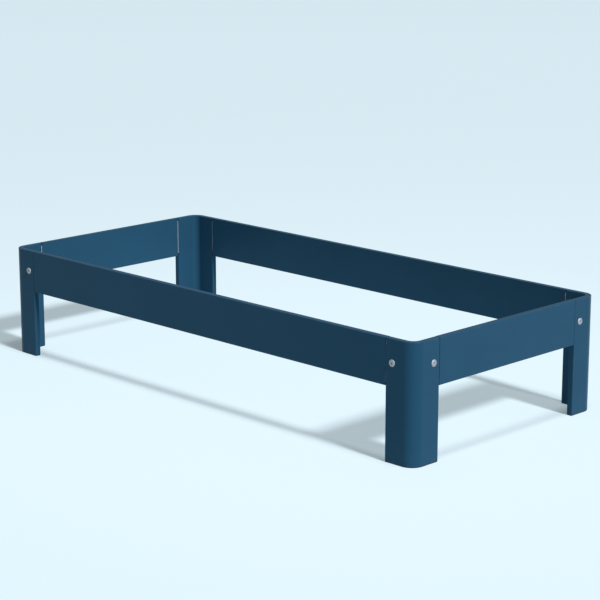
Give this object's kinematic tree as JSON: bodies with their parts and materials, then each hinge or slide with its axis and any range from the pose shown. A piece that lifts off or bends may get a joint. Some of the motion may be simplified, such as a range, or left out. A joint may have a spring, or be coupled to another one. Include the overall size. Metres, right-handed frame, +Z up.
{
  "type": "raised planter frame",
  "caption": "Low rectangular planting frame with rounded corners: hollow sheet-metal side panels bolted between L-shaped corner legs, open above and below.",
  "frame": {"origin": "on the floor, under the middle of the frame", "axes": "+X along the length, +Y towards the back, +Z up"},
  "size_m": [1.2044, 0.5544, 0.24],
  "materials": {
    "powder_coat": "satin dark petrol-blue powder coat",
    "bar_metal": "mill finish",
    "screw_steel": "satin stainless",
    "glide_plastic": "matt black"
  },
  "bodies": {
    "root": {"back_left_leg_glide": "glide_plastic", "back_left_leg_inner_skin": "powder_coat", "back_left_leg_outer_skin": "powder_coat", "back_left_leg_top_cap": "powder_coat", "back_panel_inner_skin": "powder_coat", "back_panel_left_joining_bar": "bar_metal", "back_panel_outer_skin": "powder_coat", "back_panel_right_joining_bar": "bar_metal", "back_right_leg_glide": "glide_plastic", "back_right_leg_inner_skin": "powder_coat", "back_right_leg_outer_skin": "powder_coat", "back_right_leg_top_cap": "powder_coat", "button_head_screws": "screw_steel", "front_left_leg_glide": "glide_plastic", "front_left_leg_inner_skin": "powder_coat", "front_left_leg_outer_skin": "powder_coat", "front_left_leg_top_cap": "powder_coat", "front_panel_inner_skin": "powder_coat", "front_panel_left_joining_bar": "bar_metal", "front_panel_outer_skin": "powder_coat", "front_panel_right_joining_bar": "bar_metal", "front_right_leg_glide": "glide_plastic", "front_right_leg_inner_skin": "powder_coat", "front_right_leg_outer_skin": "powder_coat", "front_right_leg_top_cap": "powder_coat", "left_panel_back_joining_bar": "bar_metal", "left_panel_front_joining_bar": "bar_metal", "left_panel_inner_skin": "powder_coat", "left_panel_outer_skin": "powder_coat", "right_panel_back_joining_bar": "bar_metal", "right_panel_front_joining_bar": "bar_metal", "right_panel_inner_skin": "powder_coat", "right_panel_outer_skin": "powder_coat"}
  },
  "joints": []
}
